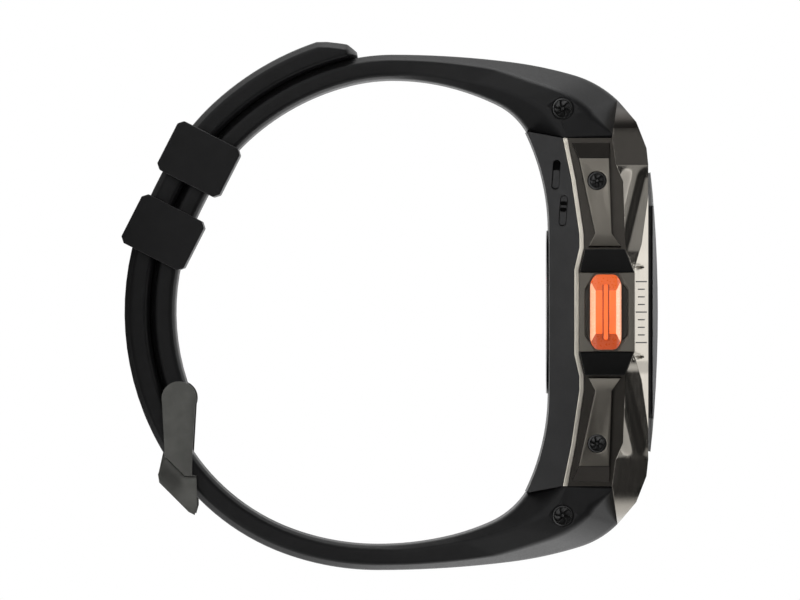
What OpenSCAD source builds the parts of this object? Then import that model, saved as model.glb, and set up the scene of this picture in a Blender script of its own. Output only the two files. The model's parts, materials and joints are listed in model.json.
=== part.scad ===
// GPS running watch, closed around a wrist, in millimetres.
// +Z points out of the display, +Y to 12 o'clock and +X to 3 o'clock.
// The origin is the centre of the flat sensor plate on the case back.
// Side outlines are given as [z, y] and extruded along X.

/* [Case] */
// Width of the middle case across its flat sides
case_w = 37.2; // [36.8:0.2:37.8]
// Thickness of the cover glass at its middle
glass_t = 0.85; // [0.7:0.05:1]
// Outer radius of the sensor plate
sensor_r = 9.7; // [9:0.1:10]

/* [Action key] */
// Length of the key along the case
key_l = 8.9; // [8:0.1:9]
// Width of the key across the case side
key_w = 3.7; // [3:0.1:4]
// Height that the key stands above its recess floor
key_h = 2; // [1.6:0.1:2.2]

/* [Crown] */
// Radius of the crown over its ribs
crown_r = 3.1; // [2.8:0.1:3.2]
// Number of grip ribs on the crown
crown_ribs = 20; // [12:2:24]

/* [Strap] */
// Width of the strap along the wrist
strap_w = 23; // [22.4:0.2:23.4]
// Thickness of the strap
strap_t = 2.95; // [2.8:0.05:3]
// Distance from one adjustment slot to the next
slot_pitch = 9; // [8.5:0.1:9.2]
// Width of the adjustment slots
slot_w = 2.6; // [2.4:0.1:3]

/* [Hidden] */
$fn = 64;
eps = 0.01;
fit = 0.05;

// Case plan and side outline
half_w = case_w / 2;
flat_y = 6.2;
end_y = 20.6;
end_half_w = half_w - 2.2;
slant = atan((half_w - end_half_w) / (end_y - flat_y));
wall = 2;
cavity_y = 18.6;
back_r = 26.5;
back_flat_y = 9.7;
back_z = 0.3;
wing_z = 0.5;
trim_t = 0.55;
trim_proud = 0.12;
// Parting line between back case and middle case, [z, y] on the 12 o'clock side
parting = [[1.9, end_y], [2.9, 15.7], [3.85, 9.2], [3.85, 7.6], [3.25, 5]];

// Bezel, display and glass
bezel_proud = 1.2;
bezel_top = 12;
bezel_end = [8.4, 25.15];
corner_x = 10.5;
corner_l = 4.6;
panel_z = 10.35;
front_in = 1.8;
opening_in = 1.8;
glass_x = 16.2;
glass_y = 16.6;
glass_corner = 4;
gasket_t = 0.3;
glass_r = 165;

// Lugs and strap screws
lug_x = 9;
lug_end_y = 25.8;
lug_bore_z = 1.9;
lug_bore_y = 24.1;
tube_r = 1;
tube_x = 14.6;
strap_screw_r = 1.25;
strap_screw_x = 14.7;
strap_screw_t = 1.25;
screw_drive_r = 0.5;

// Side guards, inserts and housings
guard_t = 1.1;
guard_screw_z = 5.95;
guard_screw_y = 15.5;
guard_screw_r = 1.05;
insert_y = [4.7, 7.45];
housing_z = [3.85, 10.3];
housing_y = 4.64;
housing_t = 1.7;
key_z = 6.95;
recess_t = 0.9;
key_gap = 0.6;
stem_r = 0.9;
stem_in_x = 14.6;
clip_x = half_w - wall - 0.1;
clip_r = 1.2;
crown_len = 2.5;
sleeve_r = 1.7;
sleeve_in_x = half_w - wall - 0.7;
crown_stem_r = 0.9;

// Back fixings
back_screw_x = 11;
back_screw_y = 15.6;
post_r = 1.5;
back_screw_r = 0.6;
back_head_r = 1.1;
port_slot_w = 0.9;
slot_depth = 1.3;

// Strap route. A path point is [z, y, heading]; a segment is [radius, turn to the
// right], and a radius of 0 makes it a straight run. The route starts at the buckle bar.
loop_z = -17.55;
loop_r = 26.5;
bar_angle = 21.5;
stack_gap = 0.1;
stack_r = loop_r + strap_t + stack_gap;
upper_run = [[loop_r, 48.5], [0, 2.6], [21.6, 20.5], [27.9, 27.9], [21.2, 4.6]];
upper_top = [[21.2, 10]];
upper_in = [[27.6, 16], [29.5, 9.9], [8.2, 34.4]];
upper_out = [[111, 7.2], [48.5, 9.1], [12.5, 27]];
lower_run = [[29.5, 13.1], [24.5, 35.5], [29.6, 19.9]];
lower_in = [[37, 13], [28, 10.9], [9.9, 33]];
lower_out = [[126.6, 7.1], [47.6, 10.3], [10.7, 27.7]];
arc_steps = 7;
flare_steps = 5;
lug_face_z = [1.9, 7.7];
lug_flare = 1.1;
end_flare = 1.2;
slot_l = 6.4;
tongue_slot = 3.3;
tail_taper = 5;
tip_t = 1.3;
tip_slope = 0.43;
outer_chamfer = [0.7, 3.7];
inner_chamfer = [0.5, 3.5];
outer_inset = [1.5, 5];
inner_inset = [1, 3];
lug_chamfer = 0.3;
full_flare = 0.72;
end_chamfer = 0.9;

// Buckle and keepers
bar_r = 0.75;
plate_t = 1.3;
side_gap = 0.35;
plate_x = strap_w / 2 + side_gap;
tongue_w = 2.2;
tongue_t = 1.1;
keeper_l = 6.5;
keeper_h = 8.3;
keeper_wall = 1.1;
keeper_gap = 0.2;
keeper_turn = 27;
keeper_at = [18.6, 27.5];
keeper_chamfer = 0.6;

// ---- Functions ----

// Point a fraction f of the way along one segment
function move(p, s, f) = s[0] == 0
    ? [p[0] + s[1] * f * cos(p[2]), p[1] + s[1] * f * sin(p[2]), p[2]]
    : [p[0] + s[0] * (sin(p[2]) - sin(p[2] - s[1] * f)),
       p[1] + s[0] * (cos(p[2] - s[1] * f) - cos(p[2])), p[2] - s[1] * f];

// Points along all the segments, n to a segment, without the first point
function walk(p, segs, n, i = 0) = i >= len(segs) ? []
    : concat([for (k = [1 : n]) move(p, segs[i], k / n)],
             walk(move(p, segs[i], 1), segs, n, i + 1));

// Length of a segment, and the point at a distance along a list of segments
function run(s) = s[0] == 0 ? s[1] : s[0] * s[1] * PI / 180;
function travel(p, segs, d, i = 0) = d <= run(segs[i]) || i == len(segs) - 1
    ? move(p, segs[i], d / run(segs[i]))
    : travel(move(p, segs[i], 1), segs, d - run(segs[i]), i + 1);

function shift(p, d) = [p[0] - d * sin(p[2]), p[1] + d * cos(p[2]), p[2]];
function shifted(path, d) = [for (p = path) shift(p, d)];
function back(list) = [for (i = [len(list) - 1 : -1 : 0]) list[i]];
function last(list) = list[len(list) - 1];
function ease(t) = t * t * (3 - 2 * t);
function mix(a, b, t) = a + (b - a) * t;

// A station is [inner point, outer point, flare], where flare runs from 0 on the plain
// strap to 1 near the case, and is over 1 on the two that meet the case
function station(p, t, flare) = [p, shift(p, t), flare];
function flare_stations(inner, outer, n) =
    [for (i = [0 : len(inner) - 1]) [inner[i], outer[i], (i + 1) / n]];
function lug_stations(corner) = [
    [[lug_face_z[0], end_y], mix(corner, bezel_end, 0.5), lug_flare],
    [[lug_face_z[1], end_y], bezel_end, end_flare]];

// ---- Strap stations ----

bar_in = [loop_z - loop_r * cos(bar_angle), -loop_r * sin(bar_angle), 90 + bar_angle];
bar_at = shift(bar_in, strap_t / 2);
upper_plain = concat([bar_in], walk(bar_in, concat(upper_run, upper_top), arc_steps));
upper_flare_in = walk(last(upper_plain), upper_in, flare_steps);
upper_flare_out = walk(shift(last(upper_plain), strap_t), upper_out, flare_steps);
flare_n = 3 * flare_steps;
upper_stations = concat([for (p = upper_plain) station(p, strap_t, 0)],
    flare_stations(upper_flare_in, upper_flare_out, flare_n),
    lug_stations(last(upper_flare_out)));

tail_path = shifted(concat([bar_in], walk(bar_in, upper_run, arc_steps)),
    strap_t + stack_gap);
lower_start = [tail_path[0][0], -tail_path[0][1], 90 - bar_angle];
lower_plain = walk(lower_start, lower_run, arc_steps);
lower_flare_in = walk(last(lower_plain), lower_in, flare_steps);
lower_flare_out = walk(shift(last(lower_plain), strap_t), lower_out, flare_steps);
// Thickness of the tail at a point, which thins towards its tip
function tail_t(p) = let (tip = last(tail_path))
    min(strap_t, tip_t + tip_slope * norm([p[0] - tip[0], p[1] - tip[1]]));
// Mirrored in Y, so the tail is flipped to match the lower half
lower_stations = concat(
    [for (p = back(tail_path)) station([p[0], -p[1], -p[2]], -tail_t(p), 0)],
    [for (p = lower_plain) station(p, strap_t, 0)],
    flare_stations(lower_flare_in, lower_flare_out, flare_n),
    lug_stations(last(lower_flare_out)));

// ---- Shared shapes ----

// Extrudes a [z, y] outline along X
module side(x0, x1) {
    translate([x1, 0, 0]) rotate([0, -90, 0]) linear_extrude(x1 - x0) children();
}

module side_poly(points, x0, x1) {
    side(x0, x1) polygon(points);
}

// A rod along X
module rod(r, x0, x1, y = 0, z = 0) {
    translate([x0, y, z]) rotate([0, 90, 0]) cylinder(r = r, h = x1 - x0);
}

module ring(r_out, r_in, h) {
    difference() {
        cylinder(r = r_out, h = h);
        translate([0, 0, -eps]) cylinder(r = r_in, h = h + 2 * eps);
    }
}

module both_ends() {
    children();
    mirror([0, 1, 0]) children();
}

module both_sides() {
    children();
    mirror([1, 0, 0]) children();
}

// Plan outline of the case, drawn in by d
module plan(d = 0, end = end_y) {
    w = half_w - d;
    e = w - (end - flat_y) * tan(slant);
    polygon([[w, flat_y], [e, end], [-e, end], [-w, flat_y],
        [-w, -flat_y], [-e, -end], [e, -end], [w, -flat_y]]);
}

// Outline from the parting line, moved by dz, up to the height z_top
module above_parting(dz, z_top) {
    up = [for (p = parting) [p[0] + dz, p[1]]];
    down = [for (p = back(up)) [p[0], -p[1]]];
    polygon(concat([[z_top, end_y]], up, down, [[z_top, -end_y]]));
}

// Puts a shape drawn on the plane x = 0 on the slanted left side at 12 o'clock
module on_slant() {
    translate([-half_w, flat_y, 0]) rotate([0, 0, -slant]) translate([0, -flat_y, 0])
        children();
}

// Six small wedges cut out of a screw head that faces -X
module drive_cut(r, depth) {
    for (a = [0 : 60 : 300])
        rotate([a, 0, 0]) translate([-eps, 0.12, r * 0.45])
            cube([depth, r * 0.22, r * 0.4]);
    rod(r * 0.3, -eps, depth);
}

// A screw along X with its head at x = 0, running inward
module side_screw(head_r, head_t, shank_r, length) {
    difference() {
        union() {
            rod(head_r, 0, head_t);
            rod(shank_r, head_t - eps, length);
        }
        drive_cut(head_r, head_t * 0.6);
    }
}

// ---- Case ----

module back_profile() {
    far = 30;
    difference() {
        translate([-far, -22.2]) square([far + 4.5, 44.4]);
        for (s = [-1, 1])
            translate([back_z - back_r, s * back_flat_y]) circle(r = back_r, $fn = 160);
        translate([back_z - back_r - 5, -back_flat_y]) square([back_r + 5, 2 * back_flat_y]);
    }
}

module slots(x0, x1, shrink = 0) {
    for (s = [[1.1, 16.4, 3.6], [1.95, 12.1, 3.7]])
        side(x0, x1) translate([s[0], s[1]]) rotate(-4) {
            straight = s[2] - port_slot_w;
            square([port_slot_w - shrink, straight], center = true);
            for (end = [-1, 1]) translate([0, end * straight / 2])
                circle(d = port_slot_w - shrink, $fn = 32);
        }
}

module back_case() {
    color("dimgray") difference() {
        intersection() {
            translate([0, 0, -6]) linear_extrude(11) plan(0.25, 22.2);
            side(-half_w, half_w) back_profile();
            side(-half_w, half_w) difference() {
                polygon([[5, end_y], [1.9, end_y], [-6.3, 22.1], [-6.3, -22.1],
                    [1.9, -end_y], [5, -end_y]]);
                above_parting(0, 12);
            }
            rotate([90, 0, 0]) translate([0, 0, -23]) linear_extrude(46)
                polygon([[-half_w, 6], [half_w, 6], [half_w, wing_z],
                    [half_w - 4.6, -4], [-half_w + 4.6, -4], [-half_w, wing_z]]);
        }
        translate([0, 0, 1.6]) linear_extrude(6) plan(wall + 0.6, cavity_y - 4.5);
        translate([0, 0, -1]) cylinder(r = sensor_r + fit, h = 2.1);
        translate([0, 0, -1]) cylinder(r = 6, h = 4);
        for (x = [-3, 3]) translate([x, -7.7, -1]) cylinder(r = 0.7, h = 4);
        both_ends() both_sides() translate([back_screw_x, back_screw_y, -4]) {
            cylinder(r = back_head_r + fit, h = 4.9);
            cylinder(r = back_screw_r + fit, h = 12);
        }
        on_slant() slots(-1, slot_depth);
    }
}

module trim_ring() {
    color("tan") difference() {
        intersection() {
            linear_extrude(6) plan(-trim_proud);
            side(-half_w - 1, half_w + 1) difference() {
                above_parting(0, 12);
                above_parting(trim_t, 12.1);
            }
        }
        translate([0, 0, -1]) linear_extrude(9) plan(1.4, cavity_y + 0.8);
        back_screw_holes();
    }
}

module back_screw_holes() {
    both_ends() both_sides() translate([back_screw_x, back_screw_y, -4])
        cylinder(r = back_screw_r + fit, h = 11.4);
}

// Lower edge of the bezel, from 12 o'clock down to the flat middle
bezel_edge = [[7.7, end_y], [8.1, 17.6], [9, 15.5], [9.3, 7.4], [10.35, housing_y]];

module under_bezel() {
    up = back(bezel_edge);
    polygon(concat([[0, -end_y]], [for (p = bezel_edge) [p[0], -p[1]]], up, [[0, end_y]]));
}

// A lug grows out of the end wall above the trim line and reaches down clear of the back
module lug() {
    root = lug_face_z[0] + trim_t + fit;
    difference() {
        side_poly([[root, end_y - 0.2], [6.6, end_y - 0.2], [6.4, 23.4], [4.4, lug_end_y],
            [0, lug_end_y], [-0.8, 24.6], [-0.6, end_y + 0.6],
            [lug_face_z[0], end_y + 0.1], [root, end_y + 0.1]], -lug_x, lug_x);
        rod(tube_r + fit, -lug_x - 1, lug_x + 1, lug_bore_y, lug_bore_z);
    }
}

module mid_case() {
    color("#3b3833") {
        difference() {
            intersection() {
                linear_extrude(12) plan();
                side(-half_w, half_w) intersection() {
                    above_parting(trim_t, 12);
                    under_bezel();
                }
            }
            difference() {
                translate([0, 0, -1]) linear_extrude(14) plan(wall, cavity_y);
                both_ends() both_sides() translate([back_screw_x, back_screw_y, 3.6]) {
                    cylinder(r = post_r, h = 4);
                    translate([-post_r, 0, 0]) cube([2 * post_r, 4, 4]);
                }
            }
            back_screw_holes();
            rod(stem_r + fit, -half_w - 1, 0, 0, key_z);
            rod(sleeve_r + fit, 0, half_w + 1, 0, key_z);
            both_sides() both_ends() on_slant()
                rod(0.65, -1, 1.6, guard_screw_y, guard_screw_z);
        }
        both_ends() lug();
    }
}

module case_seal() {
    color("black") difference() {
        intersection() {
            linear_extrude(6) plan(1.45, cavity_y + 0.75);
            side(-half_w, half_w) difference() {
                above_parting(0.05, 12);
                above_parting(trim_t - 0.05, 12.1);
            }
        }
        translate([0, 0, -1]) linear_extrude(9) plan(wall, cavity_y);
    }
}

// ---- Bezel, glass and display ----

module bezel_side() {
    top = [[bezel_top, 17.5], [11.8, 19.4], [10.6, 22.5], bezel_end];
    up = concat(top, bezel_edge);
    polygon(concat(up, [for (p = back(up)) [p[0], -p[1]]]));
}

// One quarter of the bezel's plan: a long flank and a rounded corner
function bezel_quarter(w, e) = concat([[w, 5.2], [w - 0.9, 8]],
    [for (a = [0 : 15 : 90])
        [corner_x + (e - corner_x) * pow(cos(a), 1.2), end_y + corner_l * sin(a)]]);

module bezel() {
    w = half_w + bezel_proud;
    quarter = bezel_quarter(w, end_half_w + 0.6);
    color("#6f6a60") difference() {
        intersection() {
            translate([0, 0, 5]) linear_extrude(10)
                polygon([for (s = [[1, 1], [-1, 1], [-1, -1], [1, -1]])
                    for (p = s[0] * s[1] > 0 ? quarter : back(quarter))
                        [p[0] * s[0], p[1] * s[1]]]);
            side(-w, w) bezel_side();
            rotate([90, 0, 0]) translate([0, 0, -26]) linear_extrude(52)
                polygon([[-w, 0], [w, 0], [w, panel_z], [w - front_in, bezel_top + eps],
                    [front_in - w, bezel_top + eps], [-w, panel_z]]);
        }
        translate([0, 0, 4]) linear_extrude(6.4) plan(wall, cavity_y);
        translate([0, 0, 9]) linear_extrude(5) glass_plan(opening_in);
    }
}

module glass_plan(d = 0) {
    x = glass_x - d;
    y = glass_y - d;
    c = glass_corner - d * 0.6;
    polygon([[x, y - c], [x - c, y], [c - x, y], [-x, y - c],
        [-x, c - y], [c - x, -y], [x - c, -y], [x, c - y]]);
}

module display_gasket() {
    color("black") translate([0, 0, bezel_top]) linear_extrude(gasket_t) difference() {
        glass_plan(0.1);
        glass_plan(opening_in + 0.2);
    }
}

module cover_glass() {
    z0 = bezel_top + gasket_t;
    color("darkslategray", 0.6) intersection() {
        translate([0, 0, z0]) linear_extrude(glass_t + 1) glass_plan();
        side(-20, 20) translate([z0 + glass_t - glass_r, 0]) circle(r = glass_r, $fn = 360);
    }
}

module display_panel() {
    color("midnightblue") translate([0, 0, 10.5]) linear_extrude(1.4)
        glass_plan(opening_in + 0.2);
}

module chassis() {
    color("silver") difference() {
        translate([0, 0, 9]) linear_extrude(1.1) plan(wall + 0.1, cavity_y - 0.1);
        translate([-6, -13, 8]) cube([12, 6, 4]);
        for (s = [-1, 1]) translate([s * 9, 10, 8]) cylinder(r = 1.2, h = 4);
    }
}

module mainboard() {
    color("darkgreen") difference() {
        translate([-13.6, -13.4, 5.9]) cube([27.2, 26.8, 0.8]);
        for (s = [-1, 1]) translate([s * 14, 0, 5]) cube([7, 7, 4], center = true);
        translate([8.5, 8.5, 5]) cylinder(r = 4.1, h = 3);
    }
}

module shield_cans() {
    color("lightgray") for (s = [[-10.6, -12, 11, 9], [-10.6, 4.6, 9, 8], [2, -12, 8.6, 8]])
        translate([s[0], s[1], 6.7]) difference() {
            cube([s[2], s[3], 1.4]);
            translate([0.2, 0.2, -0.2]) cube([s[2] - 0.4, s[3] - 0.4, 1.4]);
        }
}

module battery() {
    color("slategray") hull() for (s = [-1, 1])
        translate([s * 10.4, -13, 4]) rotate([-90, 0, 0]) cylinder(r = 1.35, h = 17, $fn = 32);
}

module speaker() {
    color("#222222") difference() {
        translate([-14, 8, 2.4]) cube([9, 5.6, 3.2]);
        translate([-9.5, 10.8, 1.6]) cylinder(r = 2, h = 1.6);
    }
}

module microphone() {
    color("gold") translate([-13.4, 10.2, 6.7]) cube([2.6, 2, 0.9]);
}

module vibration_motor() {
    color("lightsteelblue") translate([8.5, 8.5, 5.2]) cylinder(r = 4, h = 2.7);
}

module gps_antenna() {
    color("goldenrod") difference() {
        translate([0, 0, 8.2]) linear_extrude(0.5) plan(wall + 0.15, cavity_y - 0.15);
        translate([0, 0, 8]) linear_extrude(1) plan(wall + 1.8, cavity_y - 4.6);
        translate([13, -2.5, 8]) cube([5, 5, 1]);
    }
}

// ---- Case back ----

module sensor_plate() {
    color("#1c1c1e") difference() {
        cylinder(r = sensor_r, h = 1.05);
        translate([0, 0, -eps]) cylinder(r = 5.2, h = 2);
        for (x = [-3, 3]) translate([x, -7.7, -eps]) cylinder(r = 0.72, h = 2);
    }
}

module sensor_window() {
    color("maroon") difference() {
        cylinder(r = 5.15, h = 1);
        translate([-0.3, -6, 0.55]) cube([0.6, 12, 1]);
    }
}

module sensor_board() {
    color("darkgreen") translate([0, 0, 1.7]) cylinder(r = 7.4, h = 0.8);
}

module charging_pins() {
    color("gold") for (x = [-3, 3]) translate([x, -7.7, 0.05]) cylinder(r = 0.65, h = 1.5);
}

module port_meshes() {
    color("black") on_slant() slots(slot_depth - 0.25, slot_depth - 0.02, 0.06);
}

module back_screws() {
    color("gray") both_ends() both_sides() translate([back_screw_x, back_screw_y, 0])
        difference() {
            union() {
                translate([0, 0, -0.1]) cylinder(r = back_head_r, h = 0.95);
                cylinder(r = back_screw_r, h = 6.8);
            }
            translate([0, 0, -eps - 0.1]) cylinder(r = screw_drive_r, h = 0.6, $fn = 6);
        }
}

// ---- Side furniture ----

// A wedge-shaped guard, thinned at both of its ends
module guard() {
    on_slant() difference() {
        intersection() {
            side_poly([[2.9, 20.2], [7.5, 20.2], [7.4, 18.2], [7.7, 9.2], [8.8, 7.7],
                [4.9, 7.7], [5.7, 9.2], [3.8, 18.1]], -guard_t, 0);
            linear_extrude(12) polygon([[0, 20.2], [-0.2, 20.2], [-guard_t, 18.2],
                [-guard_t, 9.2], [-0.6, 7.7], [0, 7.7]]);
        }
        rod(guard_screw_r + fit, -guard_t - 1, -guard_t + 0.8, guard_screw_y, guard_screw_z);
        rod(0.65, -guard_t - 1, 1, guard_screw_y, guard_screw_z);
    }
}

module left_guards() {
    color("#7a746a") both_ends() guard();
}

module right_guards() {
    color("#7a746a") mirror([1, 0, 0]) both_ends() guard();
}

module guard_screws() {
    color("#151515") both_sides() both_ends() on_slant()
        translate([-guard_t + 0.05, guard_screw_y, guard_screw_z])
            side_screw(guard_screw_r, 0.7, 0.6, 2.5);
}

module insert() {
    side_poly([[3.9, insert_y[0]], [10.2, insert_y[0]], [9.2, insert_y[1]],
        [4.5, insert_y[1]]], -half_w - 1.3, -half_w + 0.02);
}

module insert_block() {
    intersection() {
        insert();
        linear_extrude(12) plan(-1.3);
    }
}

module left_inserts() {
    color("black") difference() {
        both_ends() insert_block();
        linear_extrude(12) plan();
    }
}

module right_inserts() {
    color("black") difference() {
        mirror([1, 0, 0]) both_ends() insert_block();
        linear_extrude(12) plan();
    }
}

// Housing block with its outer face housing_t from the case side
module housing() {
    side(-half_w - housing_t, -half_w) translate([housing_z[0], -housing_y])
        square([housing_z[1] - housing_z[0], 2 * housing_y]);
}

module key_housing() {
    c = 1.2;
    z0 = housing_z[0] + 0.6;
    z1 = housing_z[1] - 0.6;
    color("#55524a") difference() {
        housing();
        side_poly([[z0 + c, -4.62], [z1 - c, -4.62], [z1, -4.62 + 1.9], [z1, 4.62 - 1.9],
            [z1 - c, 4.62], [z0 + c, 4.62], [z0, 4.62 - 1.9], [z0, -4.62 + 1.9]],
            -half_w - housing_t - 1, -half_w - housing_t + recess_t);
        rod(stem_r + fit, -half_w - 3, 0, 0, key_z);
    }
}

module crown_housing() {
    color("#55524a") difference() {
        mirror([1, 0, 0]) housing();
        rod(crown_r + 0.15, half_w + housing_t - recess_t, half_w + 3, 0, key_z);
        rod(sleeve_r + fit, 0, half_w + 3, 0, key_z);
    }
}

// ---- Action key ----

recess_x = half_w + housing_t - recess_t;

// A thin layer of the key with its corners cut, centred on x
module key_layer(x, w, l, t) {
    a = w / 2;
    b = l / 2;
    side(x - t / 2, x + t / 2) translate([key_z, 0]) polygon([[a, b - 1], [a - 0.6, b],
        [0.6 - a, b], [-a, b - 1], [-a, 1 - b], [0.6 - a, -b], [a - 0.6, -b], [a, 1 - b]]);
}

module action_key() {
    x_in = -recess_x - key_gap;
    x_out = -recess_x - key_h;
    color("#ff7a3c") difference() {
        hull() {
            key_layer(x_in - 0.3, key_w, key_l, 0.6);
            key_layer(x_out + 0.05, key_w - 1.2, key_l - 3.4, 0.1);
        }
        for (s = [-1, 1]) translate([x_out, 0, key_z + s * 0.45])
            cube([0.5, key_l - 2.6, 0.22], center = true);
        rod(0.5, x_in - 0.5, x_in + 1, 0, key_z);
    }
}

module key_stem() {
    x_in = -recess_x - key_gap;
    color("silver") difference() {
        union() {
            rod(stem_r, x_in, -stem_in_x, 0, key_z);
            rod(0.48, x_in - 0.45, x_in + eps, 0, key_z);
        }
        translate([-clip_x - 0.02, 0, key_z]) rotate([0, 90, 0]) ring(2, 0.65, 0.34);
        for (x = [-half_w - 0.3, -half_w + 0.9]) translate([x, 0, key_z])
            rotate([0, 90, 0]) ring(2, 0.62, 0.5);
    }
}

module key_seals() {
    color("black") for (x = [-half_w - 0.27, -half_w + 0.93])
        translate([x, 0, key_z]) rotate([0, 90, 0]) ring(stem_r + 0.02, 0.64, 0.44);
}

module key_clip() {
    color("gainsboro") difference() {
        translate([-clip_x, 0, key_z]) rotate([0, 90, 0]) ring(clip_r, 0.67, 0.3);
        translate([-clip_x - 1, -0.45, key_z - 2]) cube([2, 0.9, 2]);
    }
}

module key_switch() {
    color("#303030") difference() {
        translate([-13.6, -2.2, 5.5]) cube([3, 4.4, 3.2]);
        rod(1.05, -15, -11.4, 0, key_z);
    }
}

// ---- Crown ----

crown_x = recess_x + key_gap + 0.1;

module crown_knob() {
    color("#7d776c") difference() {
        rod(crown_r, crown_x, crown_x + crown_len, 0, key_z);
        for (a = [0 : 360 / crown_ribs : 359])
            translate([crown_x + 0.5, 0, key_z]) rotate([a, 0, 0])
                translate([0, -0.14, crown_r - 0.22]) cube([crown_len, 0.28, 1]);
        rod(2.3, crown_x + crown_len - 0.5, crown_x + 5, 0, key_z);
        rod(crown_stem_r, crown_x - 1, crown_x + 1.5, 0, key_z);
    }
}

module crown_cap() {
    color("#ff7a3c") rod(2.28, crown_x + crown_len - 0.5, crown_x + crown_len - 0.1, 0, key_z);
}

module crown_stem() {
    color("silver") {
        rod(crown_stem_r, 13.2, crown_x + 1.5, 0, key_z);
        rod(1.5, sleeve_in_x - 0.7, sleeve_in_x - 0.1, 0, key_z);
    }
}

module crown_sleeve() {
    color("gray") difference() {
        union() {
            rod(sleeve_r, sleeve_in_x, crown_x - 0.1, 0, key_z);
            rod(2, sleeve_in_x, sleeve_in_x + 0.6, 0, key_z);
        }
        rod(crown_stem_r + fit, 14, crown_x + 1, 0, key_z);
        translate([half_w - 1.3, 0, key_z]) rotate([0, 90, 0]) ring(3, 1.3, 0.7);
    }
}

module crown_seal() {
    color("black") translate([half_w - 1.27, 0, key_z]) rotate([0, 90, 0])
        ring(sleeve_r + 0.02, 1.32, 0.64);
}

module crown_encoder() {
    color("#303030") difference() {
        translate([11.2, -2.4, 5.4]) cube([1.2, 4.8, 3.2]);
        rod(1, 11.8, 14, 0, key_z);
    }
}

// ---- Strap ----

// Half width of the strap at a station
function half_at(flare) = mix(strap_w / 2, end_half_w, ease(min(1, flare)));

// Depth of the chamfers on the outer and inner edges, for a thickness t
function outer_cut(flare, t) = flare == end_flare ? end_chamfer * t
    : mix(outer_chamfer[0], outer_chamfer[1], ease(min(1, flare / full_flare)));
function inner_cut(flare) = flare > 1 ? lug_chamfer
    : mix(inner_chamfer[0], inner_chamfer[1], flare);

// One ring of eight points: a flat band with chamfered edges
function ring_points(s, half) =
    let (t = norm([s[1][0] - s[0][0], s[1][1] - s[0][1]]),
         d = [(s[1][0] - s[0][0]) / t, (s[1][1] - s[0][1]) / t],
         f = ease(min(1, s[2])),
         out_n = outer_cut(s[2], t),
         in_n = inner_cut(s[2]),
         out_x = mix(outer_inset[0], outer_inset[1], f),
         in_x = s[2] > 1 ? lug_chamfer : mix(inner_inset[0], inner_inset[1], f),
         rows = [[half - in_x, 0], [half, in_n], [half, t - out_n], [half - out_x, t],
             [out_x - half, t], [-half, t - out_n], [-half, in_n], [in_x - half, 0]])
    [for (r = rows) [r[0], s[0][1] + d[1] * r[1], s[0][0] + d[0] * r[1]]];

module band(stations, halves) {
    m = 8;
    n = len(stations);
    points = [for (i = [0 : n - 1]) each ring_points(stations[i], halves[i])];
    walls = [for (i = [0 : n - 2]) for (j = [0 : m - 1])
        let (a = i * m + j, b = i * m + (j + 1) % m, c = b + m, d = a + m)
        each [[a, c, b], [a, d, c]]];
    polyhedron(points, concat([[for (j = [0 : m - 1]) j]], walls,
        [[for (j = [m - 1 : -1 : 0]) (n - 1) * m + j]]), convexity = 8);
}

// Room for the lug, the tube and the screws in a strap end
module lug_room() {
    side_poly([[-0.7, end_y - 1], [6.7, end_y - 1], [6.5, 23.5], [4.5, lug_end_y + 0.1],
        [-0.1, lug_end_y + 0.1], [-0.9, 24.7]], -lug_x - 0.1, lug_x + 0.1);
    rod(tube_r + fit, -strap_screw_x - eps, strap_screw_x + eps, lug_bore_y, lug_bore_z);
    both_sides() rod(strap_screw_r + fit, strap_screw_x, 20, lug_bore_y, lug_bore_z);
}

module strap_upper() {
    color("#232323") difference() {
        union() {
            band(upper_stations, [for (s = upper_stations) half_at(s[2])]);
            rod(strap_t / 2 - 0.06, 0.5 - strap_w / 2, strap_w / 2 - 0.5, bar_at[1], bar_at[0]);
        }
        rod(bar_r + fit, -20, 20, bar_at[1], bar_at[0]);
        translate([0, bar_at[1] - 1, bar_at[0]]) cube([tongue_w + 0.8, 7, 8], center = true);
        lug_room();
    }
}

// Half width of the lower strap, drawn in over the last few stations of the tail
function tail_half(i) = i > tail_taper ? 1
    : 0.55 + 0.45 * sqrt(1 - pow(1 - i / (tail_taper + 1), 2));

module strap_lower() {
    color("#232323") difference() {
        mirror([0, 1, 0]) band(lower_stations,
            [for (i = [0 : len(lower_stations) - 1])
                half_at(lower_stations[i][2]) * tail_half(i)]);
        mirror([0, 1, 0]) lug_room();
        for (k = [0 : 4]) slot_cut(shift(travel(bar_in, upper_run,
            slot_pitch * (k + 1) - tongue_slot), stack_r - loop_r + strap_t / 2));
        for (k = [0 : 2]) mirror([0, 1, 0]) slot_cut(shift(travel(lower_start, lower_run,
            tongue_slot + slot_pitch * k), strap_t / 2));
    }
}

// A slot whose long side follows the heading, cut through the strap
module slot_cut(p) {
    translate([0, p[1], p[0]]) rotate([-p[2], 0, 0]) cube([slot_w, 6, slot_l], center = true);
}

module strap_tubes() {
    color("silver") both_ends() difference() {
        rod(tube_r, -tube_x, tube_x, lug_bore_y, lug_bore_z);
        both_sides() rod(0.62, tube_x - 3.6, tube_x + 1, lug_bore_y, lug_bore_z);
    }
}

module strap_screws() {
    color("#151515") both_ends() both_sides()
        translate([-strap_screw_x - strap_screw_t - fit, lug_bore_y, lug_bore_z])
            side_screw(strap_screw_r, strap_screw_t, 0.6, 4.4);
}

// ---- Buckle ----

module buckle_bar() {
    color("silver") rod(bar_r, -plate_x - plate_t, plate_x + plate_t, bar_at[1], bar_at[0]);
}

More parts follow.
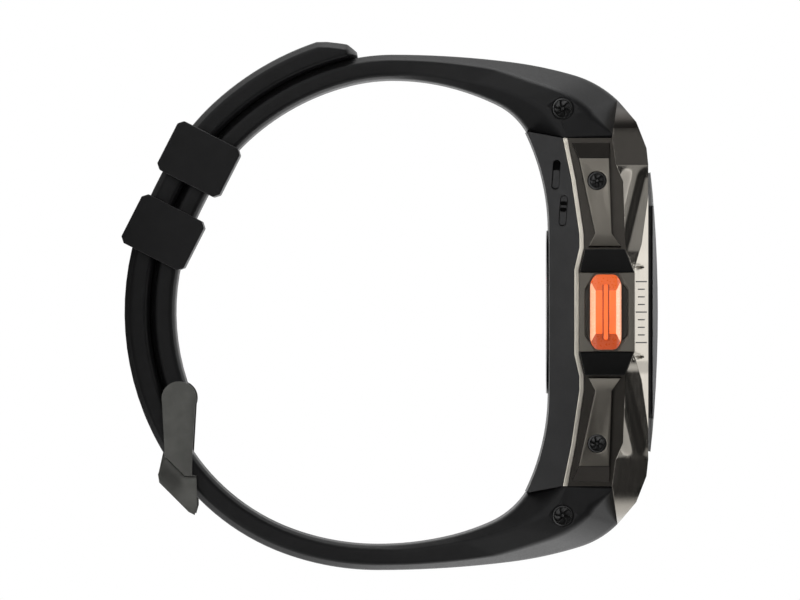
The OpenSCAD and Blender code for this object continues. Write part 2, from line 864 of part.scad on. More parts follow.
// Side outline of the buckle, [z, y]
module buckle_plate() {
    translate([bar_at[0], bar_at[1]]) circle(r = 2.05);
    polygon([[-45.6, -10.3], [-45.25, -17], [-45.3, -17.5], [-46.05, -19.2],
        [-45.9, -20.2], [-45.2, -20.9], [-42.4, -23.7], [-41.7, -24.05], [-41.4, -23],
        [-41.5, -19.4], [-42, -19.3], [-42, -17], [-41.6, -10.1]]);
}

module crossbar() {
    clear = 0.3;
    outer = [for (p = shifted(lower_plain, strap_t + clear)) [p[0], -p[1]]];
    difference() {
        side_poly([[-45.3, -17.6], [-46.05, -19.2], [-45.9, -20.2], [-45.2, -20.9],
            [-43.9, -22.2], [-42.4, -20]], -plate_x - eps, plate_x + eps);
        side_poly(concat([[-20, -10]], [for (p = outer) [p[0], p[1]]]), -20, 20);
    }
}

module buckle_frame() {
    color("#4c4c49") difference() {
        union() {
            both_sides() side(plate_x, plate_x + plate_t) buckle_plate();
            crossbar();
        }
        rod(bar_r + fit, -20, 20, bar_at[1], bar_at[0]);
        tongue_body(tongue_w + 0.5, 0.25);
    }
}

tongue_tip = [-45.65, -19.7];

module tongue_body(w, grow) {
    v = [tongue_tip[0] - bar_at[0], tongue_tip[1] - bar_at[1]];
    u = v / norm(v);
    q = [u[1], -u[0]] * (tongue_t / 2 + grow);
    a = [bar_at[0], bar_at[1]] + u;
    b = tongue_tip + u * grow;
    side_poly([a + q, b + q, b - q, a - q], -w / 2, w / 2);
}

module buckle_tongue() {
    color("#5a5a56") difference() {
        union() {
            tongue_body(tongue_w, 0);
            rod(1.4, -tongue_w / 2, tongue_w / 2, bar_at[1], bar_at[0]);
        }
        rod(bar_r + fit, -20, 20, bar_at[1], bar_at[0]);
    }
}

// ---- Keepers ----

module keeper(distance) {
    centre = shift(travel(bar_in, upper_run, distance), strap_t + stack_gap / 2);
    path = concat([bar_in], walk(bar_in, upper_run, arc_steps));
    inner = shifted(path, -keeper_gap);
    outer = shifted(path, 2 * strap_t + stack_gap + keeper_gap);
    x = strap_w / 2 + keeper_gap;
    h = keeper_h / 2;
    l = keeper_l / 2;
    c = keeper_chamfer;
    difference() {
        translate([0, centre[1], centre[0]]) rotate([keeper_turn, 0, 0])
            intersection() {
                cube([2 * (x + keeper_wall), keeper_l, keeper_h], center = true);
                side_poly([[-h + c, -l], [h - c, -l], [h, c - l], [h, l - c], [h - c, l],
                    [c - h, l], [-h, l - c], [-h, c - l]], -20, 20);
            }
        side_poly([for (p = concat(inner, back(outer))) [p[0], p[1]]], -x, x);
    }
}

module keeper_lower() {
    color("#2b2b2b") keeper(keeper_at[0]);
}

module keeper_upper() {
    color("#2b2b2b") keeper(keeper_at[1]);
}

back_case();
trim_ring();
mid_case();
bezel();
display_gasket();
cover_glass();
display_panel();
chassis();
mainboard();
shield_cans();
battery();
speaker();
microphone();
vibration_motor();
gps_antenna();
sensor_plate();
sensor_window();
sensor_board();
charging_pins();
case_seal();
port_meshes();
back_screws();
key_housing();
crown_housing();
left_inserts();
right_inserts();
left_guards();
right_guards();
guard_screws();
strap_screws();
strap_tubes();
strap_upper();
strap_lower();
buckle_bar();
buckle_frame();
buckle_tongue();
keeper_upper();
keeper_lower();
action_key();
key_stem();
key_seals();
key_clip();
key_switch();
crown_knob();
crown_cap();
crown_stem();
crown_sleeve();
crown_seal();
crown_encoder();
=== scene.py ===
"""The visual model of a GPS running watch whose strap is closed in a loop.

It stands on the CAD frame: +Z out of the display, +Y to 12 o'clock, +X to 3 o'clock.
Lengths below are in millimetres and are turned into metres by MM. Side outlines and
path points are [z, y], as in the part's source. A turn is in degrees.
"""
import json
import math

import bmesh
import bpy
from mathutils import Matrix, Vector


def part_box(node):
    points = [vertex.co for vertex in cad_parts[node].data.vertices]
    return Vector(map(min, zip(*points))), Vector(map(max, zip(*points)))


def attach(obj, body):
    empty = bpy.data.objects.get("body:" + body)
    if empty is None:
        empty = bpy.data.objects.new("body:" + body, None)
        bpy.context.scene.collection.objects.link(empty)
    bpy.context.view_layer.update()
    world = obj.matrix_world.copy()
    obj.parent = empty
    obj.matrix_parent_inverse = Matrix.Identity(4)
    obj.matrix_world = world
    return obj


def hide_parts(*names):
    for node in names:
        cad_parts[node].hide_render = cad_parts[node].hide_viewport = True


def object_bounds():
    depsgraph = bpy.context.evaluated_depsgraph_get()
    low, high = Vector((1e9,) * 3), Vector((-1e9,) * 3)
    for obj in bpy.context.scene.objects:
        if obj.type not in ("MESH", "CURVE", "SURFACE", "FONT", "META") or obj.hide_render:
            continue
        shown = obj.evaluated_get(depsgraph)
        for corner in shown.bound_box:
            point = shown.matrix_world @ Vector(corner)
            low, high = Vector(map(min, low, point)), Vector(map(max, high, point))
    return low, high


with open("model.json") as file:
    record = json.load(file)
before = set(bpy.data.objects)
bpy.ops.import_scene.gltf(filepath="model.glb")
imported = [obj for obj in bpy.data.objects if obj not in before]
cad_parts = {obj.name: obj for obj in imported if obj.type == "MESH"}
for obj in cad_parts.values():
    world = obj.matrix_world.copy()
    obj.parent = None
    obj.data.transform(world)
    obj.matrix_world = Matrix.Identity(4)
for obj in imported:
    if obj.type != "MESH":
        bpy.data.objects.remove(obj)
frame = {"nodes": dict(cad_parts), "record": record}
cad_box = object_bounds()
record = frame["record"]

MM = 0.001
SHARP = math.radians(38)
EDGE_ANGLE = math.radians(24)
NOISE_RANGE = (0.3, 0.7)
GRAIN_HEIGHT = 0.03
BODY_OF = {n: b for b, nodes in record["behaviour"]["bodies"].items() for n in nodes}
SLOT_OF = {s["node"]: s["material_slot"] for s in record["subparts"]}


# ---------------------------------------------------------------- materials

def new_material(name):
    """An empty Principled material, and its node tree and shader."""
    material = bpy.data.materials.new(name)
    material.use_nodes = True
    tree = material.node_tree
    return material, tree, tree.nodes["Principled BSDF"]


def coordinates(tree, stretch):
    """Object coordinates, stretched along the axes to give streaks."""
    place = tree.nodes.new("ShaderNodeTexCoord")
    mapping = tree.nodes.new("ShaderNodeMapping")
    mapping.inputs["Scale"].default_value = stretch
    tree.links.new(place.outputs["Object"], mapping.inputs["Vector"])
    return mapping.outputs["Vector"]


def noise(tree, vector, scale, detail=3.0):
    """A noise texture's factor."""
    node = tree.nodes.new("ShaderNodeTexNoise")
    node.inputs["Scale"].default_value = scale
    node.inputs["Detail"].default_value = detail
    tree.links.new(vector, node.inputs["Vector"])
    return node.outputs["Fac"]


def remap(tree, value, low, high):
    """The value spread over low to high."""
    node = tree.nodes.new("ShaderNodeMapRange")
    node.inputs["From Min"].default_value = NOISE_RANGE[0]
    node.inputs["From Max"].default_value = NOISE_RANGE[1]
    node.inputs["To Min"].default_value = low
    node.inputs["To Max"].default_value = high
    tree.links.new(value, node.inputs["Value"])
    return node.outputs["Result"]


def surface(name, color, rough, metallic=0.0, vary=0.12, rough_vary=0.06,
            grain=2500.0, bump=0.15, stretch=(1, 1, 1), coat=0.0, specular=0.5):
    """A moulded, painted or machined surface: mottled colour, uneven gloss, fine grain."""
    material, tree, shader = new_material(name)
    vector = coordinates(tree, stretch)
    broad = noise(tree, vector, grain * 0.12)
    fine = noise(tree, vector, grain, 5.0)
    ramp = tree.nodes.new("ShaderNodeValToRGB")
    dark, light = ramp.color_ramp.elements
    dark.position, light.position = NOISE_RANGE
    dark.color = [c * (1 - vary) for c in color] + [1]
    light.color = [min(1, c * (1 + vary)) for c in color] + [1]
    tree.links.new(broad, ramp.inputs["Fac"])
    tree.links.new(ramp.outputs["Color"], shader.inputs["Base Color"])
    tree.links.new(remap(tree, fine, rough - rough_vary, rough + rough_vary),
                   shader.inputs["Roughness"])
    relief = tree.nodes.new("ShaderNodeBump")
    relief.inputs["Strength"].default_value = bump
    relief.inputs["Distance"].default_value = GRAIN_HEIGHT * MM
    tree.links.new(fine, relief.inputs["Height"])
    tree.links.new(relief.outputs["Normal"], shader.inputs["Normal"])
    shader.inputs["Metallic"].default_value = metallic
    shader.inputs["Specular IOR Level"].default_value = specular
    shader.inputs["Coat Weight"].default_value = coat
    shader.inputs["Coat Roughness"].default_value = 0.12
    return material


def glass(name, color, rough):
    """Clear or tinted glass with a faintly uneven polish."""
    material, tree, shader = new_material(name)
    fine = noise(tree, coordinates(tree, (1, 1, 1)), 400.0)
    tree.links.new(remap(tree, fine, rough, rough + 0.03), shader.inputs["Roughness"])
    shader.inputs["Base Color"].default_value = color + (1,)
    shader.inputs["IOR"].default_value = 1.5
    shader.inputs["Transmission Weight"].default_value = 1.0
    return material


def make_materials():
    """The record's material slots, painted highlights and painted shade for single facets,
    grooves and openings, and the finishes of small pieces.
    """
    brushed = (1, 0.06, 1)
    metal = {"metallic": 1.0, "vary": 0.06, "rough_vary": 0.02, "grain": 3000.0}
    rubber = {"grain": 6000.0, "bump": 0.06}
    gloss = {"rough_vary": 0.01, "bump": 0.0, "specular": 0.3}
    shiny_key = {"grain": 4000.0, "bump": 0.03}
    # Settings for the key's two ends, whose darker orange is painted shade.
    shaded_key_ends = {"vary": 0.03, "grain": 4000.0, "bump": 0.005, "coat": 0.1}
    looks = {
        "case_polymer": ((0.014, 0.014, 0.0143), 0.5, {"bump": 0.15, "specular": 0.25}),
        "gunmetal": ((0.20, 0.185, 0.16), 0.3, {**metal, "bump": 0.005}),
        "dark_gunmetal": ((0.06, 0.055, 0.049), 0.36, {**metal, "bump": 0.004}),
        # Painted shade: near-black metal on the guards' flanks and far ends, and on the bezel's
        # steepest 12 o'clock end facets.
        "painted_shade_metal": ((0.022, 0.02, 0.018), 0.36, {**metal, "bump": 0.004}),
        # Painted shade on the bezel's end facets: the darker towards 12 o'clock, the lighter
        # towards 6 o'clock.
        "bezel_painted_shade": ((0.07, 0.065, 0.058), 0.24,
                       {**metal, "bump": 0.01, "stretch": brushed}),
        "bezel_painted_half_shade": ((0.125, 0.117, 0.104), 0.24,
                      {**metal, "bump": 0.01, "stretch": brushed}),
        "bezel_metal": ((0.24, 0.225, 0.20), 0.2,
                        {**metal, "rough_vary": 0.03, "bump": 0.03, "stretch": brushed}),
        "trim_metal": ((0.66, 0.62, 0.54), 0.34,
                       {"metallic": 1.0, "vary": 0.06, "grain": 4000.0, "bump": 0.05}),
        "black_plastic": ((0.0015, 0.0015, 0.0015), 0.34, {"bump": 0.05, "specular": 0.12}),
        "black_screw": ((0.05, 0.05, 0.05), 0.3,
                        {"metallic": 0.9, "vary": 0.03, "rough_vary": 0.01, "bump": 0.0}),
        "strap_rubber": ((0.004, 0.004, 0.0042), 0.42, {**rubber, "specular": 0.16}),
        # A painted highlight: lighter, glossier rubber on the keepers' rounded edges.
        "rubber_edge_highlight": ((0.022, 0.022, 0.0225), 0.4, {**rubber, "specular": 0.3}),
        "seal_rubber": ((0.006, 0.006, 0.006), 0.45, {}),
        "buckle_metal": ((0.085, 0.085, 0.079), 0.36,
                         {"metallic": 0.8, "grain": 5000.0, "bump": 0.03}),
        # A painted highlight: lighter metal on the rounded edges of the buckle arms' lower
        # ends.
        "buckle_edge_highlight": ((0.24, 0.24, 0.23), 0.3,
                        {"metallic": 0.8, "grain": 5000.0, "bump": 0.02}),
        "orange_key": ((0.88, 0.12, 0.015), 0.34,
                       {**shiny_key, "vary": 0.05, "coat": 0.1, "specular": 0.3}),
        # A painted highlight on the key's long bevels, and painted shade on its two ends.
        "key_bevel_highlight": ((1.0, 0.42, 0.25), 0.25, {**shiny_key, "vary": 0.05, "coat": 0.3}),
        "key_end_shade": ((0.55, 0.085, 0.012), 0.3, shaded_key_ends),
        "key_foot_shade": ((0.36, 0.05, 0.01), 0.3, shaded_key_ends),
        "cover_glass": ((0.011, 0.012, 0.0145), 0.06, {**gloss, "vary": 0.05}),
        "screen_border": ((0.0015, 0.0015, 0.0016), 0.06, gloss),
        "glass_rim": ((0.12, 0.12, 0.123), 0.2,
                      {"vary": 0.45, "grain": 6000.0, "bump": 0.0, "stretch": (1, 0.02, 1)}),
        "display": ((0.004, 0.004, 0.005), 0.12, {"bump": 0.0}),
        "sensor_gloss": ((0.006, 0.006, 0.007), 0.14, {"bump": 0.02}),
        "steel": ((0.55, 0.55, 0.56), 0.3, {"metallic": 1.0, "bump": 0.06}),
        "pcb": ((0.01, 0.09, 0.03), 0.35, {"grain": 900.0}),
        "shield": ((0.6, 0.6, 0.61), 0.35, {"metallic": 1.0, "bump": 0.05}),
        "cell": ((0.4, 0.42, 0.45), 0.4, {"metallic": 0.8, "grain": 1200.0}),
        "dark_part": ((0.02, 0.02, 0.022), 0.5, {}),
        "gold": ((0.83, 0.58, 0.22), 0.25, {"metallic": 1.0, "bump": 0.04}),
        "mark_fill": ((0.01, 0.01, 0.01), 0.5, {}),
        # Painted shade: near-black with almost no gloss, for the mic opening and the speaker's
        # two bars.
        "painted_shade_black": ((0.0006, 0.0006, 0.0006), 0.8, {"specular": 0.05}),
        # Painted shade: a dark orange for the grooves beside the key's rib.
        "key_groove_shade": ((0.16, 0.02, 0.006), 0.5, {}),
    }
    made = {name: surface(name, color, rough, **rest)
            for name, (color, rough, rest) in looks.items()}
    made["sensor_lens"] = glass("sensor_lens", (0.25, 0.03, 0.04), 0.02)
    return made


MATERIALS = make_materials()


# ---------------------------------------------------------------- mesh helpers

def finish_piece(obj, node, material=None):
    """Puts a piece on node's body, and gives it a material, by default the one for node's slot.
    """
    slot_name = SLOT_OF[node]
    obj.data.materials.clear()
    obj.data.materials.append(MATERIALS[material or slot_name])
    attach(obj, BODY_OF[node])
    return obj


def shade(bm, angle):
    """Smooth faces, with sharp edges where the surface turns by more than angle."""
    for face in bm.faces:
        face.smooth = True
    for edge in bm.edges:
        edge.smooth = len(edge.link_faces) == 2 and edge.calc_face_angle(4) < angle


def to_object(bm, name, angle=SHARP):
    """Turns a bmesh into an object with tidy normals."""
    bmesh.ops.recalc_face_normals(bm, faces=bm.faces)
    shade(bm, angle)
    mesh = bpy.data.meshes.new(name)
    bm.to_mesh(mesh)
    bm.free()
    obj = bpy.data.objects.new(name, mesh)
    bpy.context.scene.collection.objects.link(obj)
    return obj


def mesh_object(name, points, faces, angle=SHARP):
    """An object from points in millimetres and faces."""
    bm = bmesh.new()
    verts = [bm.verts.new(Vector(p) * MM) for p in points]
    for face in faces:
        bm.faces.new([verts[i] for i in face])
    return to_object(bm, name, angle)


def loft(name, rings, angle=SHARP):
    """A skin over rings of equal length, capped at both ends."""
    m = len(rings[0])
    n = len(rings)
    points = [p for ring in rings for p in ring]
    faces = []
    for i in range(n - 1):
        for j in range(m):
            a = i * m + j
            b = i * m + (j + 1) % m
            faces.append((a, b, b + m, a + m))
    faces.append(tuple(range(m))[::-1])
    faces.append(tuple((n - 1) * m + j for j in range(m)))
    return mesh_object(name, points, faces, angle)


def weighted(obj):
    """Keeps flat faces flat next to their rounded edges."""
    modifier = obj.modifiers.new("flat_faces", "WEIGHTED_NORMAL")
    modifier.keep_sharp = True
    return obj


def softened_copy(node, width, segments=3):
    """A bmesh of the CAD node, welded, with its sharp edges rounded by width."""
    bm = bmesh.new()
    bm.from_mesh(frame["nodes"][node].data)
    bmesh.ops.remove_doubles(bm, verts=bm.verts, dist=0.002 * MM)
    bmesh.ops.dissolve_limit(bm, angle_limit=math.radians(0.6), verts=bm.verts,
                             edges=bm.edges)
    bmesh.ops.connect_verts_concave(bm, faces=bm.faces)
    sharp = [e for e in bm.edges
             if len(e.link_faces) == 2 and e.calc_face_angle(0) > EDGE_ANGLE]
    bmesh.ops.bevel(bm, geom=sharp, offset=width * MM, segments=segments, profile=0.6,
                    affect="EDGES", clamp_overlap=True)
    return bm


def slice_at(bm, planes):
    """Cuts edges into a mesh along planes, each a point in millimetres and a normal."""
    for at, normal in planes:
        bmesh.ops.bisect_plane(bm, geom=bm.verts[:] + bm.edges[:] + bm.faces[:],
                               dist=0.0005 * MM, plane_co=Vector(at) * MM,
                               plane_no=normal)


def stand_in(obj, node, material=None):
    """Shows obj in place of the CAD node."""
    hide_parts(node)
    return finish_piece(obj, node, material)


def refined(node, width, material=None):
    """The CAD node with rounded edges, as a piece."""
    skin = to_object(softened_copy(node, width), node + "_skin")
    return weighted(stand_in(skin, node, material))


def paint_faces(obj, names, choose):
    """Gives each face the material choose picks from its centre, in mm, and its normal."""
    for name in names:
        obj.data.materials.append(MATERIALS[name])
    for face in obj.data.polygons:
        face.material_index = choose(face.center / MM, face.normal)


def carve(obj, cutters):
    """Cuts the cutters out of obj and deletes them."""
    for cutter in cutters:
        modifier = obj.modifiers.new("cut", "BOOLEAN")
        modifier.operation = "DIFFERENCE"
        modifier.solver = "EXACT"
        modifier.object = cutter
    graph = bpy.context.evaluated_depsgraph_get()
    mesh = bpy.data.meshes.new_from_object(obj.evaluated_get(graph))
    obj.modifiers.clear()
    obj.data = mesh
    for cutter in cutters:
        bpy.data.objects.remove(cutter)


def rounded(points, radius, steps=4):
    """A closed outline with each corner rounded."""
    out = []
    count = len(points)
    for i in range(count):
        here = Vector(points[i])
        to_last = Vector(points[i - 1]) - here
        to_next = Vector(points[(i + 1) % count]) - here
        reach = min(radius, to_last.length * 0.45, to_next.length * 0.45)
        start = here + to_last.normalized() * reach
        end = here + to_next.normalized() * reach
        for k in range(steps + 1):
            t = k / steps
            out.append(start * (1 - t) ** 2 + here * 2 * t * (1 - t) + end * t ** 2)
    return out


def mix(a, b, t):
    """From a to b."""
    return a + (b - a) * t


def ease(t):
    """A smooth step from 0 to 1."""
    return t * t * (3 - 2 * t)


def slope_between(t, start, end):
    """How far t has gone from start to end, eased at both ends, as a length."""
    span = end - start
    f = min(1, max(0, (t - start) / span))
    return span * ease(f)


def window(t, start, end, soft):
    """1 between start and end, fading to 0 over soft inside them."""
    return ease(min(1, max(0, (t - start) / soft))) * ease(min(1, max(0, (end - t) / soft)))


def frange(start, end, step):
    """Numbers from start to end."""
    count = int(round((end - start) / step))
    return [start + (end - start) * k / count for k in range(count + 1)]


# ---------------------------------------------------------------- strap route

# The band, the loop round the wrist, and the buckle bar's place on it.
STRAP_W = 23.0
STRAP_T = 2.95
LOOP_Z = -17.55
LOOP_R = 26.5
BAR_ANGLE = 21.5
STACK_GAP = 0.1

# Routes as (radius, turn) arcs, or (0, length) where straight.
UPPER_RUN = ((LOOP_R, 48.5), (0, 2.6), (21.6, 20.5), (27.9, 27.9), (21.2, 4.6))
UPPER_TOP = ((21.2, 10),)
UPPER_IN = ((27.6, 16), (29.5, 9.9), (8.2, 34.4))
UPPER_OUT = ((111, 7.2), (48.5, 9.1), (12.5, 27))
LOWER_RUN = ((29.5, 13.1), (24.5, 35.5), (29.6, 19.9))
LOWER_IN = ((37, 13), (28, 10.9), (9.9, 33))
LOWER_OUT = ((126.6, 7.1), (47.6, 10.3), (10.7, 27.7))
ARC_STEPS = 14
FLARE_STEPS = 9

# Where the flared ends meet the case.
END_HALF_W = 16.4
CASE_END_Y = 20.6
LUG_FACE_Z = (1.9, 7.7)
BEZEL_END = (8.4, 25.15)
LUG_FLARE = 1.1
END_FLARE = 1.2

# Edge chamfers, on the band and at full flare.
OUTER_CHAMFER = (0.7, 3.7)
OUTER_INSET = (1.5, 5)
INNER_CHAMFER = (0.5, 3.5)
INNER_INSET = (1, 3)
LUG_CHAMFER = 0.3
CHAMFERED_BY = 0.72
BAND_CORNER = 0.35

# The rounded buckle end, the slots and the free end's tapered tip.
ROUND_END_STEPS = 6
ROUND_END_TURN = 14
SLOT_PITCH = 9.0
SLOT_L = 6.4
SLOT_W = 2.6
TONGUE_SLOT = 3.3
TAIL_SLOTS = 5
FREE_SLOTS = 3
TAIL_SAG = 0.08
TIP_T = 1.3
TIP_SLOPE = 0.43
TIP_CHAMFER = 0.9
TIP_CUT = 0.8
TIP_WIDTH = 0.62
TIP_RINGS = 10

STRAP_SCREW_R = 1.25
POCKET_R = 1.32


def advance(p, segment, part):
    """The [z, y, heading] point part of the way along a segment that turns right."""
    radius, turn = segment
    heading = math.radians(p[2])
    if radius == 0:
        return (p[0] + turn * part * math.cos(heading),
                p[1] + turn * part * math.sin(heading), p[2])
    after = math.radians(p[2] - turn * part)
    return (p[0] + radius * (math.sin(heading) - math.sin(after)),
            p[1] + radius * (math.cos(after) - math.cos(heading)), p[2] - turn * part)


def walk(p, segments, steps):
    """Points along all the segments, without the first."""
    points = []
    for segment in segments:
        points += [advance(p, segment, k / steps) for k in range(1, steps + 1)]
        p = points[-1]
    return points


def travel(p, segments, distance):
    """The point at a distance along the segments."""
    for segment in segments:
        length = segment[1] if segment[0] == 0 else math.radians(segment[1]) * segment[0]
        if distance <= length:
            return advance(p, segment, distance / length)
        p = advance(p, segment, 1)
        distance -= length
    return p


def shift(p, distance):
    """A path point moved outward."""
    heading = math.radians(p[2])
    return (p[0] - distance * math.sin(heading), p[1] + distance * math.cos(heading), p[2])


def flip(p):
    """A path point mirrored in Y, run the other way."""
    return (p[0], -p[1], -p[2])


BAR_IN = (LOOP_Z - LOOP_R * math.cos(math.radians(BAR_ANGLE)),
          -LOOP_R * math.sin(math.radians(BAR_ANGLE)), 90 + BAR_ANGLE)
BAR_AT = shift(BAR_IN, STRAP_T / 2)


def strap_ring(inner, outer, half, flare):
    """One ring of the strap: a flat band with chamfered, softened edges."""
    start = Vector(inner[:2])
    across = Vector(outer[:2]) - start
    thick = across.length
    across.normalize()
    f = ease(min(1, flare))
    out_n = min(mix(*OUTER_CHAMFER, ease(min(1, flare / CHAMFERED_BY))), thick * 0.45)
    if flare == END_FLARE:
        out_n = 0.9 * thick
    in_n = min(mix(*INNER_CHAMFER, flare), thick * 0.35)
    out_x = mix(*OUTER_INSET, f)
    in_x = mix(*INNER_INSET, f)
    if flare > 1:
        in_n = in_x = LUG_CHAMFER
    rows = [(half - in_x, 0), (half, in_n), (half, thick - out_n), (half - out_x, thick),
            (out_x - half, thick), (-half, thick - out_n), (-half, in_n), (in_x - half, 0)]
    soft = rounded(rows, mix(BAND_CORNER, BAND_CORNER * 2.2, f))
    return [(x, start.y + across.y * n, start.x + across.x * n) for x, n in soft]


def flare_rings(inner, outer):
    """Rings where the strap widens and thickens towards the case."""
    rings = []
    count = len(inner)
    for i in range(count):
        f = (i + 1) / count
        half = mix(STRAP_W / 2, END_HALF_W, ease(f))
        rings.append(strap_ring(inner[i], outer[i], half, f))
    corner = outer[-1]
    middle = [mix(corner[k], BEZEL_END[k], 0.5) for k in (0, 1)]
    rings.append(strap_ring((LUG_FACE_Z[0], CASE_END_Y), middle, END_HALF_W, LUG_FLARE))
    rings.append(strap_ring((LUG_FACE_Z[1], CASE_END_Y), BEZEL_END, END_HALF_W, END_FLARE))
    return rings


def mirrored(rings):
    """Rings mirrored in Y."""
    return [[(x, -y, z) for x, y, z in ring] for ring in rings]


def slot_cutter(p, name):
    """A stadium cutter through the strap at a mid-thickness path point, wider at both faces."""
    heading = math.radians(p[2])
    along = Vector((0, math.sin(heading), math.cos(heading)))
    out = Vector((0, math.cos(heading), -math.sin(heading)))
    across = Vector((1, 0, 0))
    centre = Vector((0, p[1], p[0]))
    radius = SLOT_W / 2
    straight = SLOT_L / 2 - radius
    depth = STRAP_T / 2
    lip, beyond, widest = 0.22, 2.2, 0.75
    rings = []
    for level, grow in ((-beyond, widest), (-depth - 0.02, lip), (-depth + lip, 0),
                        (depth - lip, 0), (depth + 0.02, lip), (beyond, widest)):
        ring = []
        for k in range(24):
            angle = math.tau * (k + 0.5) / 24
            u = (radius + grow) * math.cos(angle)
            v = (radius + grow) * math.sin(angle) + math.copysign(straight, math.sin(angle))
            ring.append(centre + across * u + along * v + out * level)
        rings.append(ring)
    return loft(name, rings)


def rod(name, radius, x0, x1, y, z, steps=48):
    """A round bar along X."""
    rings = []
    for x in (x0, x1):
        rings.append([(x, y + radius * math.cos(math.tau * k / steps),
                       z + radius * math.sin(math.tau * k / steps)) for k in range(steps)])
    return loft(name, rings)


def screw_pockets(sign, name):
    """Cutters for the round pockets of the two strap screws."""
    low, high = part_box("strap_screws")
    y = sign * (high.y / MM - STRAP_SCREW_R)
    z = (low.z + high.z) / 2 / MM
    inner, outside = high.x / MM - 0.5, 30
    return [rod(f"{name}_{k}", POCKET_R, *sorted((s * inner, s * outside)), y, z)
            for k, s in enumerate((-1, 1))]


def make_strap_upper():
    """The buckle half of the strap, round at the buckle bar, with a notch for the tongue."""
    rings = []
    heading = math.radians(BAR_IN[2])
    back = Vector((-math.cos(heading), -math.sin(heading)))
    for k in range(ROUND_END_STEPS, 0, -1):
        turn = math.radians(ROUND_END_TURN * k)
        centre = Vector(BAR_AT[:2]) + back * STRAP_T / 2 * math.sin(turn)
        half_t = STRAP_T / 2 * math.cos(turn)
        foot = shift((centre.x, centre.y, BAR_IN[2]), -half_t)
        top = shift((centre.x, centre.y, BAR_IN[2]), half_t)
        rings.append(strap_ring(foot, top, STRAP_W / 2 - 0.3 * math.sin(turn), 0))
    plain = [BAR_IN] + walk(BAR_IN, UPPER_RUN + UPPER_TOP, ARC_STEPS)
    rings += [strap_ring(p, shift(p, STRAP_T), STRAP_W / 2, 0) for p in plain]
    inner = walk(plain[-1], UPPER_IN, FLARE_STEPS)
    outer = walk(shift(plain[-1], STRAP_T), UPPER_OUT, FLARE_STEPS)
    rings += flare_rings(inner, outer)
    strap = loft("strap_upper_skin", rings)
    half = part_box("buckle_tongue")[1].x / MM + 0.4
    z, y = BAR_AT[:2]
    notch = mesh_box("tongue_notch", (-half, y - 3, z - 4), (half, y + 2.4, z + 4))
    carve(strap, [notch] + screw_pockets(1, "upper_pocket"))
    weighted(stand_in(strap, "strap_upper"))


def make_strap_lower():
    """The tail half of the strap, with its row of slots."""
    stack = STRAP_T + STACK_GAP
    tail = [shift(p, stack) for p in [BAR_IN] + walk(BAR_IN, UPPER_RUN, ARC_STEPS)]
    rings = []
    count = len(tail)
    tip = tail[-1]
    for i, p in enumerate(tail):
        away = math.hypot(p[0] - tip[0], p[1] - tip[1])
        taper = min(STRAP_T, TIP_T + TIP_SLOPE * away)
        thick = taper - max(0, TIP_CHAMFER - away) * TIP_CUT
        t = min(1, (count - 1 - i) / TIP_RINGS)
        half = STRAP_W / 2 * mix(TIP_WIDTH, 1, math.sqrt(1 - (1 - t) ** 2))
        rings.append(strap_ring(shift(p, -TAIL_SAG), shift(p, thick), half, 0))
    rings.reverse()
    start = flip(tail[0])
    start = (start[0], start[1], 90 - BAR_ANGLE)
    plain = walk(start, LOWER_RUN, ARC_STEPS)
    lower = [strap_ring(p, shift(p, STRAP_T), STRAP_W / 2, 0) for p in plain]
    inner = walk(plain[-1], LOWER_IN, FLARE_STEPS)
    outer = walk(shift(plain[-1], STRAP_T), LOWER_OUT, FLARE_STEPS)
    rings += mirrored(lower + flare_rings(inner, outer))
    strap = loft("strap_lower_skin", rings)
    cutters = []
    for k in range(TAIL_SLOTS):
        p = travel(BAR_IN, UPPER_RUN, SLOT_PITCH * (k + 1) - TONGUE_SLOT)
        cutters.append(slot_cutter(shift(p, stack + STRAP_T / 2), f"tail_slot_{k}"))
    for k in range(FREE_SLOTS):
        p = flip(shift(travel(start, LOWER_RUN, TONGUE_SLOT + SLOT_PITCH * k), STRAP_T / 2))
        cutters.append(slot_cutter(p, f"lower_slot_{k}"))
    carve(strap, cutters + screw_pockets(-1, "lower_pocket"))
    weighted(stand_in(strap, "strap_lower"))


def mesh_box(name, low, high):
    """A plain box cutter."""
    corners = [(x, y, z) for x in (low[0], high[0]) for y in (low[1], high[1])
               for z in (low[2], high[2])]
    faces = [(0, 1, 3, 2), (4, 6, 7, 5), (0, 4, 5, 1), (2, 3, 7, 6), (0, 2, 6, 4),
             (1, 5, 7, 3)]
    return mesh_object(name, corners, faces)


# ---------------------------------------------------------------- screws

# The case's sides are flat up to FLAT_Y and slanted beyond it.
SIDE_X = 18.6
FLAT_Y = 6.2
SIDE_SLANT = math.atan(2.2 / 14.4)
GUARD_SCREW_R = 1.05
GUARD_SCREW_REACH = 9.3
VANES = 6
VANE_TWIST = 0.9
VANE_SPAN = (0.2, 0.84)
RIM_FROM = 0.97


def head_height(rho, angle, depth):
    """Height of a screw's face at a share rho of its radius: six stepped, twisted vanes."""
    if VANE_SPAN[0] < rho < VANE_SPAN[1]:
        sweep = (angle + VANE_TWIST * rho) * VANES / math.tau % 1
        return -depth * (0.25 + 0.75 * sweep)
    return -0.1 * depth if rho > RIM_FROM else 0


def screw_head(name, radius, depth, placing, node):
    """A round head with a raised rim and a turbine-shaped drive."""
    rows = 14
    columns = 14 * VANES
    bm = bmesh.new()
    grid = []
    for i in range(rows + 1):
        rho = i / rows
        ring = []
        for j in range(columns):
            angle = math.tau * j / columns
            at = Vector((head_height(rho, angle, depth), rho * radius * math.cos(angle),
                         rho * radius * math.sin(angle)))
            ring.append(bm.verts.new(at * MM))
        grid.append(ring)
    skirt = Vector((-depth * 1.6 * MM, 0, 0))
    grid.append([bm.verts.new(v.co + skirt) for v in grid[-1]])
    for a, b in zip(grid, grid[1:]):
        for j in range(columns):
            k = (j + 1) % columns
            bm.faces.new((a[j], a[k], b[k], b[j]))
    bmesh.ops.remove_doubles(bm, verts=bm.verts, dist=0.0001 * MM)
    bm.transform(placing)
    stand_in(to_object(bm, name, math.radians(30)), node)


